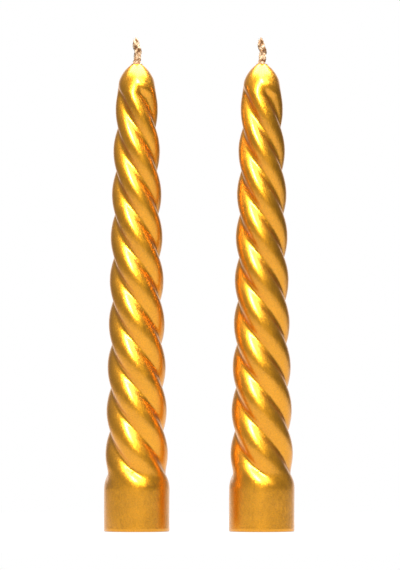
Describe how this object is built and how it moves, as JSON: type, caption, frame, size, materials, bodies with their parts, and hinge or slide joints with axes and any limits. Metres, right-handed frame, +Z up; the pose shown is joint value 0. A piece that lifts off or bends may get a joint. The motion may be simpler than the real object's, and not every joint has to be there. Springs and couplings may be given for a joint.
{
  "type": "twisted taper candles",
  "caption": "Matching gold-lacquered taper candles with left-hand twisted ridges, a plain round foot for a candlestick and a plaited cotton wick.",
  "frame": {"origin": "on the table, midway between the two candles", "axes": "+X from the left candle to the right one, +Y away from the viewer, +Z up along the candles"},
  "size_m": [0.064, 0.022, 0.1662],
  "materials": {
    "gold_lacquered_wax": "satin metallic gold lacquer over cast wax",
    "gilded_cotton": "plaited cotton with a thin coat of gold lacquer"
  },
  "bodies": {
    "root": {"left_wax_body": "gold_lacquered_wax", "right_wax_body": "gold_lacquered_wax", "left_wick": "gilded_cotton", "right_wick": "gilded_cotton"}
  },
  "joints": []
}
